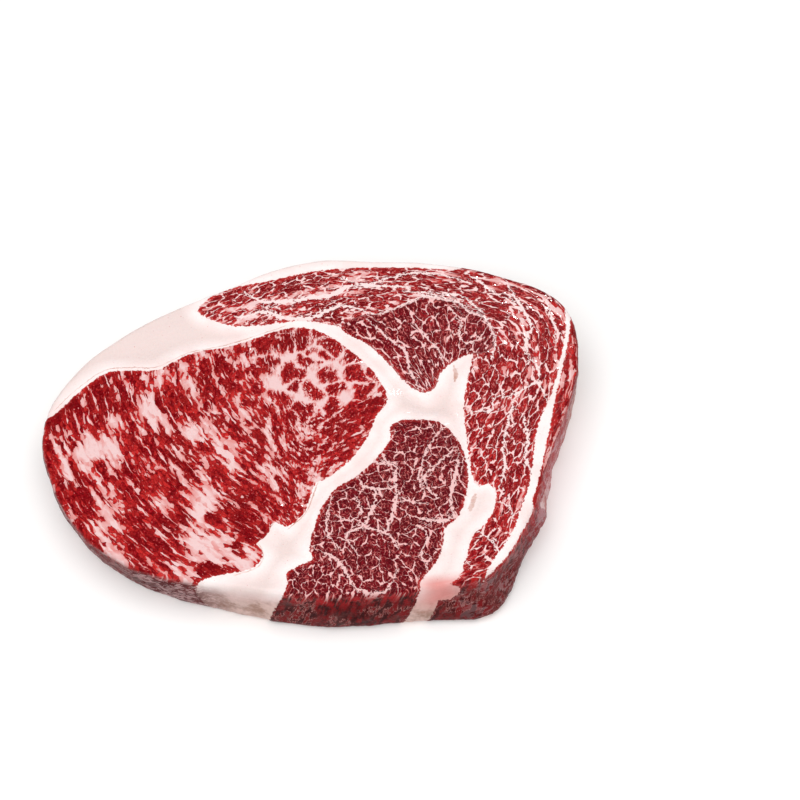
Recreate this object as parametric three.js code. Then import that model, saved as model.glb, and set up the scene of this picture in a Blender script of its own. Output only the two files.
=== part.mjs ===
// A raw beef rib steak, cut across the muscles into one thick slice and lying flat on its cut face.
// Millimetres, +Z up, the middle of the resting face at the origin, the long side of the slice along X.

import * as THREE from 'three';
import { mergeVertices } from 'three/addons/utils/BufferGeometryUtils.js';

// Driving dimensions of the slice.
const THICKNESS = 22;
const TOP_ROUNDING = 1.8;
const BOTTOM_ROUNDING = 3.2;
const NOMINAL_RADIUS = 80;

// Distance from the middle of the slice to its cut edge, every 15 degrees from +X towards +Y.
const EDGE_RADII = [
  83.0, 92.5, 98.4, 87.8, 77.8, 70.8, 68.9, 66.4, 64.8, 68.0, 74.8, 84.0,
  91.4, 90.8, 88.0, 82.0, 73.4, 68.6, 68.2, 69.8, 75.4, 82.6, 80.4, 78.6,
];

// Places where the side of the slice leaves the upright: the middle of each lobe as an angle in
// degrees and a height, its reach along and up the side, and how far it stands out (or in, below 0).
const SIDE_LOBES = [
  { angle: 222, height: 0, along: 26, up: 13, out: -5.2 },
  { angle: 312, height: 3, along: 9, up: 8, out: 4.6 },
  { angle: 320, height: 11, along: 4, up: 5, out: -3.0 },
  { angle: 336, height: 11, along: 15, up: 7, out: 3.4 },
  { angle: 283, height: 8, along: 14, up: 7, out: 1.2 },
  { angle: 60, height: 9, along: 24, up: 8, out: 1.6 },
  { angle: 150, height: 8, along: 22, up: 8, out: 1.4 },
];

// Shallow ridges along the side, where bundles of muscle end: count around the slice, height in
// millimetres, phase, and lean over the thickness, both in radians.
const SIDE_RIDGES = [
  { count: 17, rise: 0.35, phase: 0.4, lean: 1.6 },
  { count: 29, rise: 0.28, phase: 2.1, lean: -1.2 },
  { count: 41, rise: 0.18, phase: 4.0, lean: 2.2 },
];

// Seams of soft fat between the muscles, which lie a little lower than the lean on the cut face.
const SEAM_DEPTH = 0.9;
const SEAMS = [
  { halfWidth: 6.0, points: [[-66, 27], [-46, 33], [-27, 37], [-8, 41], [10, 34], [24, 20], [38, 7]] },
  { halfWidth: 5.0, points: [[38, 7], [22, -3], [12, -20], [-2, -31], [-7, -47], [-14, -62]] },
  { halfWidth: 4.4, points: [[38, 7], [49, 3], [52, -20], [52, -37], [46, -51], [41, -65]] },
];

// Broad swellings of the cut face over the muscles: middle, reach and rise.
const SWELLINGS = [
  { x: -38, y: -8, reach: 34, rise: 0.9 },
  { x: 40, y: 42, reach: 24, rise: 0.5 },
  { x: 26, y: -40, reach: 20, rise: 0.6 },
];

// Fineness of the mesh: steps around the slice, over its cut face, side and resting face.
const STEPS_AROUND = 120;
const STEPS_ACROSS_TOP = 16;
const STEPS_OF_ROUNDING = 3;
const STEPS_UP_SIDE = 5;
const SEAM_SAMPLES = 24;

// The one ring of vertices inside the resting face, as a share of the radius.
const RESTING_RING = 0.6;

const LEAN_COLOUR = 0xa0282e;

// Smooth closed curve through the edge radii, read at an angle in radians.
function edgeRadius(angle) {
  const count = EDGE_RADII.length;
  const turn = ((angle / (2 * Math.PI)) % 1 + 1) % 1;
  const index = Math.floor(turn * count);
  const part = turn * count - index;
  const radius = (step) => EDGE_RADII[(index + step + count) % count];
  const slopeIn = (radius(1) - radius(-1)) / 2;
  const slopeOut = (radius(2) - radius(0)) / 2;
  const rise = radius(1) - radius(0);
  const square = 3 * rise - 2 * slopeIn - slopeOut;
  const cube = slopeIn + slopeOut - 2 * rise;
  return radius(0) + slopeIn * part + square * part ** 2 + cube * part ** 3;
}

const bell = (distance, reach) => Math.exp(-((distance / reach) ** 2));

// How far the side stands out from the cut edge at an angle in radians and a height.
function sideOffset(angle, height) {
  let offset = 0;
  for (const lobe of SIDE_LOBES) {
    const turned = THREE.MathUtils.radToDeg(angle) - lobe.angle;
    const away = THREE.MathUtils.euclideanModulo(turned + 180, 360) - 180;
    offset += lobe.out * bell(away, lobe.along) * bell(height - lobe.height, lobe.up);
  }
  const upSide = height / THICKNESS;
  const fadeAtEdges = Math.sin(Math.PI * upSide);
  for (const ridge of SIDE_RIDGES) {
    const wave = Math.sin(ridge.count * angle + ridge.phase + ridge.lean * upSide);
    offset += ridge.rise * fadeAtEdges * wave;
  }
  return offset;
}

const seamLines = SEAMS.map((seam) => {
  const knots = seam.points.map(([x, y]) => new THREE.Vector3(x, y, 0));
  const curve = new THREE.CatmullRomCurve3(knots, false, 'centripetal');
  return { halfWidth: seam.halfWidth, samples: curve.getPoints(SEAM_SAMPLES) };
});

// Rise of the cut face over its mean height at a point.
function cutFaceRise(x, y) {
  let rise = 0;
  for (const swelling of SWELLINGS) {
    rise += swelling.rise * bell(Math.hypot(x - swelling.x, y - swelling.y), swelling.reach);
  }
  for (const seam of seamLines) {
    const nearest = Math.min(...seam.samples.map((point) => Math.hypot(x - point.x, y - point.y)));
    rise -= SEAM_DEPTH * bell(nearest, seam.halfWidth);
  }
  return rise;
}

// Half section of the slice as if it were round, from the middle of its resting face, out and up
// the side, and back to the middle of its cut face.
function sectionProfile() {
  const profile = [new THREE.Vector2(0, 0), new THREE.Vector2(NOMINAL_RADIUS * RESTING_RING, 0)];
  const addCorner = (rounding, height, startAngle) => {
    for (let step = 0; step <= STEPS_OF_ROUNDING; step += 1) {
      const turn = startAngle + (Math.PI / 2) * (step / STEPS_OF_ROUNDING);
      const across = NOMINAL_RADIUS - rounding + rounding * Math.cos(turn);
      profile.push(new THREE.Vector2(across, height + rounding * Math.sin(turn)));
    }
  };
  addCorner(BOTTOM_ROUNDING, BOTTOM_ROUNDING, -Math.PI / 2);
  const sideHeight = THICKNESS - BOTTOM_ROUNDING - TOP_ROUNDING;
  for (let step = 1; step < STEPS_UP_SIDE; step += 1) {
    profile.push(new THREE.Vector2(NOMINAL_RADIUS, BOTTOM_ROUNDING + (sideHeight * step) / STEPS_UP_SIDE));
  }
  addCorner(TOP_ROUNDING, THICKNESS - TOP_ROUNDING, 0);
  for (let step = 1; step <= STEPS_ACROSS_TOP; step += 1) {
    const across = (NOMINAL_RADIUS - TOP_ROUNDING) * (1 - step / STEPS_ACROSS_TOP);
    profile.push(new THREE.Vector2(across, THICKNESS));
  }
  return profile;
}

// The round slab of the section, drawn out to the outline of the slice and given its relief.
function steakGeometry() {
  const slab = new THREE.LatheGeometry(sectionProfile(), STEPS_AROUND);
  slab.rotateX(Math.PI / 2);
  slab.deleteAttribute('normal');
  slab.deleteAttribute('uv');
  const geometry = mergeVertices(slab);
  const position = geometry.getAttribute('position');
  for (let index = 0; index < position.count; index += 1) {
    const angle = Math.atan2(position.getY(index), position.getX(index));
    const height = position.getZ(index);
    const share = Math.hypot(position.getX(index), position.getY(index)) / NOMINAL_RADIUS;
    const reach = share * (edgeRadius(angle) + sideOffset(angle, height));
    const x = reach * Math.cos(angle);
    const y = reach * Math.sin(angle);
    const lift = cutFaceRise(x, y) * (height / THICKNESS) ** 2;
    position.setXYZ(index, x, y, height + lift);
  }
  geometry.computeBoundingBox();
  const middle = geometry.boundingBox.getCenter(new THREE.Vector3());
  geometry.translate(-middle.x, -middle.y, 0);
  geometry.computeVertexNormals();
  return geometry;
}

const leanMeat = new THREE.MeshStandardMaterial({ color: LEAN_COLOUR, roughness: 0.35, metalness: 0 });

const steak = new THREE.Mesh(steakGeometry(), leanMeat);
steak.name = 'steak';

const model = new THREE.Group();
model.add(steak);

export default model;
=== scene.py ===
"""A raw, heavily marbled rib steak: one thick slice with its muscles, seams of fat and wet cut face."""

import functools
import math

import bpy
import numpy as np
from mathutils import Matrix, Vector


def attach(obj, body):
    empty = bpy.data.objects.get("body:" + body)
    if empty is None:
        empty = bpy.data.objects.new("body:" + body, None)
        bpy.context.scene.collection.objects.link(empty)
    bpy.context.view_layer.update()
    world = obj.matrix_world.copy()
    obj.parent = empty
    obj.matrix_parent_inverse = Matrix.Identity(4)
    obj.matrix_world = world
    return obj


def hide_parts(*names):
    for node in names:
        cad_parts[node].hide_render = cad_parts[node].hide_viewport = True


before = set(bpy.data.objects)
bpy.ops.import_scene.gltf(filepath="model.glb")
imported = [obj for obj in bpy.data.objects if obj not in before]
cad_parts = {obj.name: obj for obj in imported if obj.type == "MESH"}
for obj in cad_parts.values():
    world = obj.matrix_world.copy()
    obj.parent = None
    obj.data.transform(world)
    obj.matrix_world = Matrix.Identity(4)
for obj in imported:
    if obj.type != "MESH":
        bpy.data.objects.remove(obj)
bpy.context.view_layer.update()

bl_info = {
    "name": "Raw Rib Steak",
    "version": (1, 0, 0),
    "blender": (4, 5, 0),
    "location": "View3D > Sidebar > Steak",
    "description": "Builds a marbled raw rib steak and the stage it is shown on",
    "category": "Object",
}

MM = 0.001

# Outline of the cut edge: its distance from the middle in millimetres, every 15 degrees from +X.
EDGE_RADII = [
    83.0, 92.5, 98.4, 87.8, 77.8, 70.8, 68.9, 66.4, 64.8, 68.0, 74.8, 84.0,
    91.4, 90.8, 88.0, 82.0, 73.4, 68.6, 68.2, 69.8, 75.4, 82.6, 80.4, 78.6,
]
THICKNESS = 22.0
TOP_ROUNDING = 1.8
BOTTOM_ROUNDING = 3.2
NOMINAL_RADIUS = 80.0

# Rings of the mesh: around the upper rounding, down the side and around the lower rounding.
TOP_RINGS = 5
SIDE_RINGS = 11
BOTTOM_RINGS = 3

# Lobes of the side: angle in degrees, height, reach along in degrees, reach up, and how far out.
SIDE_LOBES = [
    (222, 0, 26, 13, -5.2),
    (312, 3, 9, 8, 4.6),
    (320, 11, 4, 5, -3.0),
    (336, 11, 15, 7, 3.4),
    (283, 8, 14, 7, 1.2),
    (60, 9, 24, 8, 1.6),
    (150, 8, 22, 8, 1.4),
]

# Ridges of the side: count around, rise in millimetres, phase and lean in radians.
SIDE_RIDGES = [(17, 0.35, 0.4, 1.6), (29, 0.28, 2.1, -1.2), (41, 0.18, 4.0, 2.2)]

# Seams of soft fat: half width and the points along each, in millimetres.
SEAM_DEPTH = 0.9
SEAMS = [
    (6.0, [(-66, 27), (-46, 33), (-27, 37), (-8, 41), (10, 34), (24, 20), (38, 7)]),
    (5.0, [(38, 7), (22, -3), (12, -20), (-2, -31), (-7, -47), (-14, -62)]),
    (4.4, [(38, 7), (49, 3), (52, -20), (52, -37), (46, -51), (41, -65)]),
]

# Broad swellings of the cut face: middle, reach and rise in millimetres.
SWELLINGS = [(-38, -8, 34, 0.9), (40, 42, 24, 0.5), (26, -40, 20, 0.6)]

# Outlines of the muscles on the cut face, in millimetres from the middle of the edge radii.
EYE = [
    (24, 8), (22, 15), (17, 23), (10, 30), (3, 36), (-5, 39), (-13, 38), (-22, 34),
    (-32, 30), (-42, 28), (-49, 24), (-55, 20), (-64, 20), (-72, 19), (-80, 12), (-88, 2),
    (-97, -6), (-100, -30), (-84, -52), (-66, -66), (-48, -72), (-36, -63), (-26, -60), (-19, -58),
    (-16, -53), (-18, -49), (-15, -46), (-13, -41), (-8, -42), (-3, -37), (-1, -30), (1, -25),
    (5, -23), (11, -17), (16, -10), (19, -3), (20, 1), (22, 4),
]
CAP = [
    (-42, 45), (-39, 51), (-30, 56), (-18, 59), (-6, 62.5), (8, 64.6), (24, 65), (40, 64.4),
    (48, 64), (55, 67.5), (70, 64), (84, 53), (86, 43), (85, 33), (82.4, 21), (79.6, 10), (75.8, 1),
    (73.5, -8), (72, -20), (70, -29), (67, -38), (65, -44), (61.5, -50), (58, -56), (56, -60),
    (57, -64), (62, -70), (60, -80), (46, -80), (45.5, -69), (43.5, -66), (44, -64), (46.5, -61.8),
    (48.5, -59), (49, -56), (50, -53), (52, -46), (57, -40), (60, -31),
    (58, -26), (53, -25), (51, -8), (50, 4), (51, 15), (53, 27), (47, 24), (42, 19),
    (40, 13), (35, 12), (30, 16), (24, 24), (18, 31), (13, 36), (5, 40), (-6, 42),
    (-20, 40), (-32, 40),
]
DEEP_CAP = [
    (8, 38), (14, 43), (20, 44), (25, 46), (31, 49), (36, 51.5), (43, 51), (48, 49),
    (52, 46), (57, 43), (60, 38), (61, 32), (58, 28), (53, 27), (47, 24), (42, 19),
    (40, 13), (35, 12), (30, 16), (24, 24), (18, 31),
]
CORE = [
    (34, 0), (41, -1), (47, -7), (50, -14), (51, -22), (50, -31), (47, -39), (43, -43),
    (42, -49), (40, -56), (36, -61), (34.5, -65), (36, -68), (37, -80), (-4, -80), (-13, -74), (-8, -66),
    (-8, -60), (-4, -57), (0, -55), (-1, -50), (2, -37), (7, -28), (15, -22), (21, -15),
    (25, -8), (25, -3), (29, 0),
]
RED_STRIP = [
    (89, 47), (87.4, 40), (86.4, 33), (85.2, 27), (83.6, 20), (81.7, 12), (80.2, 5), (78.7, -3),
    (76.8, -11), (75.2, -19), (73.4, -27), (71.6, -33), (74.5, -35), (80, -20), (86, -3), (92, 20),
    (94, 40),
]
CORNER = [
    (56, -62), (60.3, -56.4), (64.4, -51), (67.6, -45), (70.8, -39), (74, -33.5), (88, -30), (88, -60),
    (72, -80), (58, -80), (59, -70),
]

# Each muscle: its outline, the size of its bundles of fibres along and across the grain in
# millimetres, its share of lean, the strength of its white net, and how dark it is.
MUSCLES = {
    "eye": (EYE, 1.6, 0.95, 0.06, 0.04, 0.0),
    "cap": (CAP, 2.2, 0.85, 0.14, 0.95, 0.2),
    "deep_cap": (DEEP_CAP, 1.8, 0.95, 0.34, 0.95, 0.85),
    "core": (CORE, 1.35, 1.15, 0.46, 0.68, 1.0),
    "red_strip": (RED_STRIP, 2.2, 0.9, 0.06, 0.2, 0.0),
    "corner": (CORNER, 2.2, 0.9, 0.12, 0.3, 0.8),
}

# Where the lean stands in rounded islands rather than in strands: x, y and reach.
ROUND_ISLANDS = (4, 22, 21)

# Patches where fat or lean gathers: x, y, half length, half width, angle of the length in degrees,
# and how strongly lean gathers there, below 0 for fat.
PATCH_STRENGTH = 0.35
PATCHES = [
    (-77, -14, 6.5, 2.6, 0, -0.6), (-75.5, -8, 6, 1.8, -75, -0.5), (-66.5, -3, 7, 2.2, -60, -0.6),
    (-67, -17, 8, 2.4, -60, -0.6), (-56, -18, 5, 3, -20, -0.6), (-56.5, -9, 7, 1.5, -75, -0.5),
    (-55, -1, 6, 2.2, -50, -0.5), (-58.5, 3.5, 5, 2.4, -80, -0.5), (-42.5, -7.5, 4.5, 2.8, -60, -0.6),
    (-34.5, -9, 9, 3.2, -65, -0.7), (-46, -22, 6, 2, -50, -0.5), (-36, -31, 8, 3.4, -75, -0.8),
    (-37, -40, 6, 3.2, -90, -0.8), (-29, -50, 9, 5.5, -20, -0.9), (-38, -53, 6, 3.2, -30, -0.7),
    (-22, -55, 5, 4, -60, -0.9), (-66, -42.5, 7, 2, -15, -0.6), (-71, -32, 5, 1.6, -50, -0.5),
    (-64, -33, 8, 1.6, -60, -0.5), (-52, -34, 8, 1.4, -60, -0.4), (-22, -10.5, 4, 1.5, 0, -0.5),
    (-13, -20, 5, 1.5, -50, -0.4), (-83, -22, 6, 1.6, -45, -0.4), (-66.5, 2, 6, 2, -70, -0.5),
    (-59, 9, 4.5, 1.5, -60, -0.4), (-43.5, 13, 4.5, 2, -60, -0.5), (-41, 8.5, 4, 1.8, -30, -0.4),
    (-44, 20.5, 4, 1.2, -10, -0.4), (-30, 7.5, 4.5, 2, 0, -0.5), (-15.5, 14, 4, 3.2, -60, -0.6),
    (-20, 22, 5, 1.8, -20, -0.5), (-11.5, 27, 5, 1.6, -45, -0.5), (-6, 8.5, 6, 2.4, 0, -0.5),
    (1, 24, 6, 2.6, -60, -0.6), (8, 27, 5, 2, -40, -0.5), (9, 12, 6, 1.8, -80, -0.4),
    (-84, -4, 7, 5, -50, 0.35), (-80, 3, 6, 4, -60, 0.3), (-71, 7, 9, 4, -60, 0.3),
    (-61, -9, 9, 2.4, -62, 0.45), (-49, 11, 6, 3, -70, 0.35), (-38, 13, 7, 3, -45, 0.35),
    (-31, 21, 7, 4, -30, 0.35), (-49, -41, 8, 5, -50, 0.6), (-45, -51, 8, 3.5, -50, 0.5),
    (-33, -23, 9, 2.6, -55, 0.45), (-17, -33, 8, 3, -42, 0.5), (-24, -43, 7, 3, -32, 0.45),
    (-9, 31, 6, 3, -35, 0.4), (-26, -4, 4.5, 3, -60, 0.4), (-77, -25, 6, 4, -50, 0.35),
    (-33, -39.5, 3, 2, 0, 2.0), (-24.0, -51.3, 2.6, 1.8, -75, 2.2), (-33, -58.2, 2.6, 2.0, 0, 1.3),
    (3, -14, 7, 2.4, -25, 0.3), (-24, 46, 2.6, 6, 0, -0.7), (20, -57, 12, 8, 0, 0.15),
    (-20, 50, 22, 2.0, 12, -0.6), (-16, 43.5, 16, 1.4, 4, -0.5), (2, 52, 12, 1.6, 8, -0.5),
    (-31, 47, 1.6, 4, 10, -0.5), (-14, 46.5, 9, 1.8, 5, 0.5), (-27, 50, 7, 2.5, 20, 0.4),
    (-4, 14, 22, 15, 40, -0.26), (52, -46, 7, 10, 0, 0.45), (50, -60, 8, 5, 0, 0.7),
]

# Wide veins of fat drawn one by one: width in millimetres and the points along each.
VEINS = [
    (2.6, [(-25, 53), (-20, 50), (-12, 50), (-4, 51.5), (4, 52.5), (8, 55.5), (14, 57), (22, 56.5),
           (30, 56)]),
    (2.4, [(-27, 43.5), (-18, 45.5), (-12, 43), (-3, 43), (3, 46), (8, 48), (15, 46)]),
    (1.5, [(15, 46), (20, 44), (25, 46), (31, 49), (36.3, 51.7), (43, 50.7), (48.3, 49), (52.3, 45), (57, 43),
           (59.7, 37.7), (61, 32.3), (60, 26)]),
    (1.1, [(30, 54), (33.7, 53.7), (41.7, 53.3), (49.7, 52), (55, 47), (59, 41.7)]),
    (1.2, [(8, 60), (16, 57.5), (25, 60.5), (35, 62.5), (46, 60.5), (52, 58)]),
    (1.3, [(17.7, 41), (22, 36), (27, 31), (30, 28), (31.5, 21), (34.5, 14)]),
    (1.1, [(33.5, 39), (36, 36), (39, 31.5), (42, 27.5), (43, 23)]),
    (1.2, [(46, 46), (49, 40), (48.5, 35), (51, 31.5), (56, 33.5)]),
    (1.8, [(66, 58), (68.5, 52), (71.7, 45), (73.7, 38.5), (71.7, 32.3), (72.3, 24.3)]),
    (1.2, [(52.3, 61.7), (58, 57), (62.5, 52.5), (67, 49.5), (70, 45)]),
    (1.0, [(79.5, 52), (80.5, 45), (82, 38), (82, 31)]),
    (1.1, [(64, 9), (68.3, 10.8), (72, 13.5), (75, 14.8), (77, 11), (78.3, 7)]),
    (1.0, [(75, 14.8), (76, 19), (74, 24)]),
    (1.1, [(67.7, 10.3), (65.7, 3), (63.7, -5), (62.6, -12), (63, -20), (61, -27)]),
    (1.0, [(51, 2), (55, 3.5), (59, 3), (60, 8), (63, 10)]),
    (1.2, [(70, 0), (71, -8), (70, -15), (71.5, -22)]),
    (1.3, [(41.7, -5), (37.7, -11.3), (35.7, -17.3), (34.3, -23), (35, -27)]),
    (1.2, [(46, -12), (43, -15.5), (39, -20), (36.3, -23.3), (37.7, -28.7), (40, -31)]),
    (1.9, [(21.5, -11), (23.7, -17.3), (27, -19.3), (26.3, -25.3), (27, -30), (25.9, -37.3), (23.9, -42.7),
           (24.8, -47)]),
    (1.0, [(15.5, -18), (20, -17.5), (25, -19)]),
    (1.4, [(13.5, -22), (16, -27), (19.7, -28.5), (19.7, -33.3), (17.9, -39.3), (15.9, -42.7), (10.5, -46),
           (13.7, -52)]),
    (1.0, [(19.7, -28.5), (24, -28), (27, -28)]),
    (1.0, [(5.8, -32), (4.3, -39), (5, -46), (8, -50)]),
    (1.7, [(48, -15), (46.5, -23), (45, -31), (45.7, -39)]),
    (1.8, [(36, -40), (41, -40.5), (46, -39)]),
    (1.2, [(15, -42.7), (20, -44), (24.5, -46), (27, -50)]),
    (1.2, [(1, -51), (7, -54.3), (11, -60), (13.7, -65.3), (18.3, -67), (24, -66), (27, -60)]),
    (0.9, [(27.5, -31), (32, -33.5), (36, -34)]),
    (0.9, [(8, -39), (12, -40.5), (15.5, -37), (14, -32)]),
    (0.9, [(31, -45), (35, -43), (37, -47), (35, -53), (37, -58)]),
    (1.0, [(54.5, -45), (58, -48), (60, -53), (57, -58)]),
    (0.9, [(60, -33), (63, -34), (65, -38)]),
]

# Thin tan membranes, drawn the same way.
MEMBRANES = [
    (0.35, [(-88, 4), (-84, 9.5), (-78, 16), (-72, 20.5), (-64, 21.5), (-56, 21.2), (-50, 24.5), (-44, 28),
            (-34, 30.5), (-27, 33), (-19, 36.5), (-12, 39.5)]),
    (0.45, [(-13.5, -42), (-16, -46.5), (-19, -48), (-17, -50), (-15.8, -54), (-18, -58), (-24, -60.5)]),
    (0.35, [(1, -26), (-0.4, -31), (-2.5, -37), (-7.5, -42.5)]),
    (1.3, [(46.8, 21), (47.3, 18.5), (47, 16.5)]),
    (1.6, [(53, -30.5), (52.2, -33), (51.6, -35)]),
]

# Stretches of the side under dried skin: middle and reach in degrees, strength, and how pale the skin is,
# which is painted light: the skin is painted paler where the light falls on it.
SKINS = [(232, 13, 1.0, 0.0), (205, 18, 0.7, 0.2), (-8, 22, 0.95, 1.0), (318, 12, 0.4, 0.3)]

# Spots of fat on the side: angle in degrees, height, reach along in degrees and reach up. The depth is
# twice how deep the middle of a spot lies in fat, in millimetres.
SIDE_SPOTS = [(-56, 17, 3.6, 5.0), (-47, 1.0, 4, 2.5)]
SPOT_DEPTH = 6.0

# Stretches of the rim where the fat is flushed with red: middle and reach in degrees, and strength.
FLUSHES = [(-57, 6, 0.9)]

# The shares of the radius from and to which the rim comes in, for the spots and the flushes.
RIM_FROM = 0.93
RIM_TO = 0.98

# The side's look comes in below the cut face, from this far down and over this much depth, in
# millimetres. What lies lower than the last height belongs to the resting face.
SIDE_FROM = 0.6
SIDE_FADE = 2.2
RESTING_BELOW = 0.01

# How far the pattern shifts sideways for each millimetre of depth, so that bundles of fibres cross
# the side of the slice at a slant.
SLANT = (0.32, 0.0)

# The amount of fullness above which the meat is lean, and how soft that border is.
LEAN_FROM = 0.90
LEAN_SOFTNESS = 0.025

# The value of the slits' noise above which a slit of fat opens in the lean.
SLIT_FROM = 0.66

# How the bundles of fibres run. Those of the eye lie in curves around a middle, which slides from one
# place to another over the stretch of x where the muscle bends. Those of the cap and the red strip follow
# the rim, those of the deep cap fan out from a middle, and those of the core and the corner run straight.
# A first turn is where the angles start, in radians, and a turn width is how many millimetres one radian
# counts for.
EYE_BEND = (-20, 12)
EYE_MIDDLE_X = (28, -12)
EYE_MIDDLE_Y = 42
EYE_FIRST_TURN = 4.3
EYE_TURN_WIDTH = 35
CAP_FIRST_TURN = -2.6
CAP_TURN_WIDTH = 84
DEEP_CAP_MIDDLE = (44, 2)
DEEP_CAP_TURN_WIDTH = 34
STRAIGHT_GRAIN = math.radians(-82)

# How far apart the grains of the muscles start, in bundles of fibres, so that no pattern shows twice.
GRAIN_APART = 37.0

# Patterns that follow the grain, counted per bundle of fibres, whose size in millimetres MUSCLES gives:
# bends of the grain, strands of lean along and across it, drifts of fatter and leaner meat, slits of fat
# along and across it, cells of the net of veins, changes in how thick the net's threads and the hairs of
# fat are, and fibres along and across it. Fibres and hairs of fat are finer in life, and are drawn as
# coarse as they need to show in the render.
BENDS = 0.3
STRANDS = (0.13, 0.42, 0)
DRIFTS = 0.09
SLITS = (0.2, 0.8, 0)
NETS = 0.33
THREADS = 0.5
HAIRS = 1.1
FIBRES = (1.1, 1.5, 0)

# Wrinkles of the side per millimetre, around it and up it.
WRINKLES = (0.36, 0.36, 0.13)

# Sizes of the patterns in millimetres: ragged edges, slow waves in them, rounded islands of lean, the
# streaks of lean on the side and the folds of the skin.
RAGGED_EDGE = 1.25
SLOW_WAVE = 8.33
ISLAND = 7.4
STREAK = (1.8, 1.8, 5.0)
SKIN_FOLD = (2.6, 2.6, 0.9)

# Patterns that run through the whole piece: name, size in millimetres, detail and roughness. The grit
# carries the wet glints. Specks and glints too are drawn as coarse as they need to show.
PATTERNS = [("speck", 0.77, 2.0, 0.6), ("cloud", 10.0, 3.0, 0.5), ("stain", 6.25, 4.0, 0.65),
            ("grit", 0.83, 2.0, 0.6)]

# Places on the baked map, bottom and top of each strip: cut face, resting face, two halves of the side.
MAP_STRIPS = {"cut": (0.48, 1.0), "resting": (0.12, 0.474), "sides": ((0.0, 0.056), (0.060, 0.116))}
BAKE_MAP = "OFBake"


def linear_colour(hex_value):
    """Turns an sRGB hex value into the linear RGBA that the shaders take."""
    channels = [(hex_value >> shift & 255) / 255 for shift in (16, 8, 0)]
    return [c / 12.92 if c <= 0.04045 else ((c + 0.055) / 1.055) ** 2.4 for c in channels] + [1.0]


def smooth_line(points, closed, steps=6):
    """Points along a Catmull-Rom curve through the given points."""
    knots = np.array(points, float)
    count = len(knots)
    before = knots[np.arange(-1, count - 1)]
    after = knots[(np.arange(count) + 1) % count]
    if not closed:
        before[0], after[-1] = 2 * knots[0] - knots[1], 2 * knots[-1] - knots[-2]
    slopes = (after - before) / 2
    line = []
    for index in range(count if closed else count - 1):
        nxt = (index + 1) % count
        for part in np.arange(steps) / steps:
            square, cube = part ** 2, part ** 3
            line.append(
                (2 * cube - 3 * square + 1) * knots[index] + (cube - 2 * square + part) * slopes[index]
                + (3 * square - 2 * cube) * knots[nxt] + (cube - square) * slopes[nxt]
            )
    if not closed:
        line.append(knots[-1])
    return np.array(line)


def segment_reach(points, start, end):
    """For each point, the offset from its nearest place on a segment, and that place's share."""
    along = end - start
    share = np.clip(((points - start) @ along) / (along @ along), 0, 1)
    return points - start - share[:, None] * along, share


def outline_depth(points, outline):
    """Distance of each point from a closed outline, above 0 inside it."""
    loop = smooth_line(outline, closed=True, steps=4)
    ends = np.roll(loop, -1, axis=0)
    nearest = np.full(len(points), np.inf)
    inside = np.zeros(len(points), bool)
    for start, end in zip(loop, ends):
        offset, _ = segment_reach(points, start, end)
        nearest = np.minimum(nearest, (offset ** 2).sum(1))
        rises = (start[1] > points[:, 1]) != (end[1] > points[:, 1])
        if start[1] != end[1]:
            crossing = start[0] + (points[:, 1] - start[1]) * (end[0] - start[0]) / (end[1] - start[1])
            inside ^= rises & (points[:, 0] < crossing)
    return np.where(inside, 1, -1) * np.sqrt(nearest)


def line_marks(all_points, lines, end_taper=0.25, reach=6.0):
    """For the nearest of some drawn lines: distance to its left, plain distance, and half width there."""
    best = np.full(len(all_points), np.inf)
    marks = np.full((len(all_points), 3), (reach, reach, 0.0))
    for width, knots in lines:
        line = smooth_line(knots, closed=False, steps=4)
        close = ((all_points > line.min(0) - reach) & (all_points < line.max(0) + reach)).all(1)
        chosen = np.flatnonzero(close)
        points = all_points[chosen]
        lengths = np.linalg.norm(np.diff(line, axis=0), axis=1)
        travelled = np.concatenate([[0], np.cumsum(lengths)]) / lengths.sum()
        for index in range(len(line) - 1):
            start, end = line[index], line[index + 1]
            offset, share = segment_reach(points, start, end)
            plain = np.hypot(*offset.T)
            along = (end - start) / lengths[index]
            sideways = (points - start) @ np.array([-along[1], along[0]])
            place = travelled[index] + share * (travelled[index + 1] - travelled[index])
            taper = np.clip(np.minimum(place, 1 - place) / end_taper, 0.25, 1) ** 0.5
            half = width / 2 * taper
            nearer = plain - half < best[chosen]
            best[chosen[nearer]] = (plain - half)[nearer]
            marks[chosen[nearer]] = np.stack([sideways, plain, half], 1)[nearer]
    return marks


def edge_radius(angle):
    """Distance of the cut edge from the middle at an angle in radians, as a smooth closed curve."""
    radii = np.array(EDGE_RADII)
    count = len(radii)
    turn = (angle / (2 * math.pi)) % 1 * count
    index = np.floor(turn).astype(int)
    part = turn - index
    back, here, ahead, beyond = (radii[(index + step) % count] for step in (-1, 0, 1, 2))
    slope_in, slope_out, rise = (ahead - back) / 2, (beyond - here) / 2, ahead - here
    square = 3 * rise - 2 * slope_in - slope_out
    cube = slope_in + slope_out - 2 * rise
    return here + slope_in * part + square * part ** 2 + cube * part ** 3


def bell(distance, reach):
    """A share that falls smoothly from 1 at no distance to about a third at the reach."""
    return np.exp(-((distance / reach) ** 2))


def degrees_from(middle, angle):
    """Degrees from a middle in degrees to an angle in radians, between -180 and 180."""
    return (np.degrees(angle) - middle + 180) % 360 - 180


def side_offset(angle, height):
    """How far the side stands out from the cut edge at an angle in radians and a height."""
    offset = np.zeros(np.broadcast(angle, height).shape)
    for lobe_angle, lobe_height, along, up, out in SIDE_LOBES:
        offset += out * bell(degrees_from(lobe_angle, angle), along) * bell(height - lobe_height, up)
    up_side = height / THICKNESS
    for count, rise, phase, lean in SIDE_RIDGES:
        offset += rise * np.sin(math.pi * up_side) * np.sin(count * angle + phase + lean * up_side)
    return offset


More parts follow.
